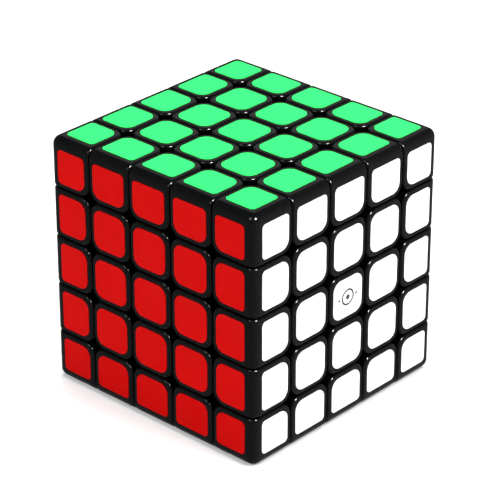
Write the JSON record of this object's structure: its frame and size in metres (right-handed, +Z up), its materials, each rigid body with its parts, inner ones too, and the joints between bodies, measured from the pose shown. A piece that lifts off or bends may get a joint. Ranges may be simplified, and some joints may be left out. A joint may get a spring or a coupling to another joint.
{
  "type": "twisty puzzle cube",
  "caption": "Cube-shaped twisty puzzle of small rounded cubies on a hidden core, with coloured stickers; its horizontal layers turn about the vertical axis.",
  "frame": {"origin": "centre of the core, which is the centre of the cube", "axes": "+Z up through the green face, -Y out of the red face, +X out of the white face"},
  "size_m": [0.0622, 0.0622, 0.0622],
  "materials": {
    "black_abs": "glossy moulded ABS",
    "core_plastic": "moulded nylon",
    "steel": "zinc plated",
    "sticker_green": "satin vinyl",
    "sticker_red": "satin vinyl",
    "sticker_white": "satin vinyl",
    "sticker_orange": "satin vinyl",
    "sticker_yellow": "satin vinyl",
    "sticker_blue": "satin vinyl"
  },
  "bodies": {
    "core_and_middle_slice": {"back_centre": "black_abs", "core_spider": "core_plastic", "front_centre": "black_abs", "left_centre": "black_abs", "middle_slice_middle_edges": "black_abs", "middle_slice_orange_stickers": "sticker_orange", "middle_slice_plus_centres": "black_abs", "middle_slice_red_stickers": "sticker_red", "middle_slice_white_stickers": "sticker_white", "middle_slice_yellow_stickers": "sticker_yellow", "right_centre": "black_abs", "side_centre_caps": "black_abs", "spring_washers": "steel", "tension_screws": "steel", "tension_springs": "steel"},
    "top_layer": {"green_face_stickers": "sticker_green", "top_back_left_corner": "black_abs", "top_back_right_corner": "black_abs", "top_centre": "black_abs", "top_centre_cap": "black_abs", "top_front_left_corner": "black_abs", "top_front_right_corner": "black_abs", "top_layer_middle_edges": "black_abs", "top_layer_orange_stickers": "sticker_orange", "top_layer_plus_centres": "black_abs", "top_layer_red_stickers": "sticker_red", "top_layer_white_stickers": "sticker_white", "top_layer_wings": "black_abs", "top_layer_x_centres": "black_abs", "top_layer_yellow_stickers": "sticker_yellow"},
    "upper_slice": {"upper_slice_orange_stickers": "sticker_orange", "upper_slice_plus_centres": "black_abs", "upper_slice_red_stickers": "sticker_red", "upper_slice_white_stickers": "sticker_white", "upper_slice_wings": "black_abs", "upper_slice_x_centres": "black_abs", "upper_slice_yellow_stickers": "sticker_yellow"},
    "lower_slice": {"lower_slice_orange_stickers": "sticker_orange", "lower_slice_plus_centres": "black_abs", "lower_slice_red_stickers": "sticker_red", "lower_slice_white_stickers": "sticker_white", "lower_slice_wings": "black_abs", "lower_slice_x_centres": "black_abs", "lower_slice_yellow_stickers": "sticker_yellow"},
    "bottom_layer": {"blue_face_stickers": "sticker_blue", "bottom_back_left_corner": "black_abs", "bottom_back_right_corner": "black_abs", "bottom_centre": "black_abs", "bottom_centre_cap": "black_abs", "bottom_front_left_corner": "black_abs", "bottom_front_right_corner": "black_abs", "bottom_layer_middle_edges": "black_abs", "bottom_layer_orange_stickers": "sticker_orange", "bottom_layer_plus_centres": "black_abs", "bottom_layer_red_stickers": "sticker_red", "bottom_layer_white_stickers": "sticker_white", "bottom_layer_wings": "black_abs", "bottom_layer_x_centres": "black_abs", "bottom_layer_yellow_stickers": "sticker_yellow"}
  },
  "joints": [
    {"name": "top_layer_turn", "type": "hinge", "parent": "core_and_middle_slice", "child": "top_layer", "pos_m": [0, 0, 0.0248], "axis": [0, 0, 1], "continuous": true},
    {"name": "upper_slice_turn", "type": "hinge", "parent": "core_and_middle_slice", "child": "upper_slice", "pos_m": [0, 0, 0.0124], "axis": [0, 0, 1], "continuous": true},
    {"name": "lower_slice_turn", "type": "hinge", "parent": "core_and_middle_slice", "child": "lower_slice", "pos_m": [0, 0, -0.0124], "axis": [0, 0, 1], "continuous": true},
    {"name": "bottom_layer_turn", "type": "hinge", "parent": "core_and_middle_slice", "child": "bottom_layer", "pos_m": [0, 0, -0.0248], "axis": [0, 0, 1], "continuous": true}
  ]
}
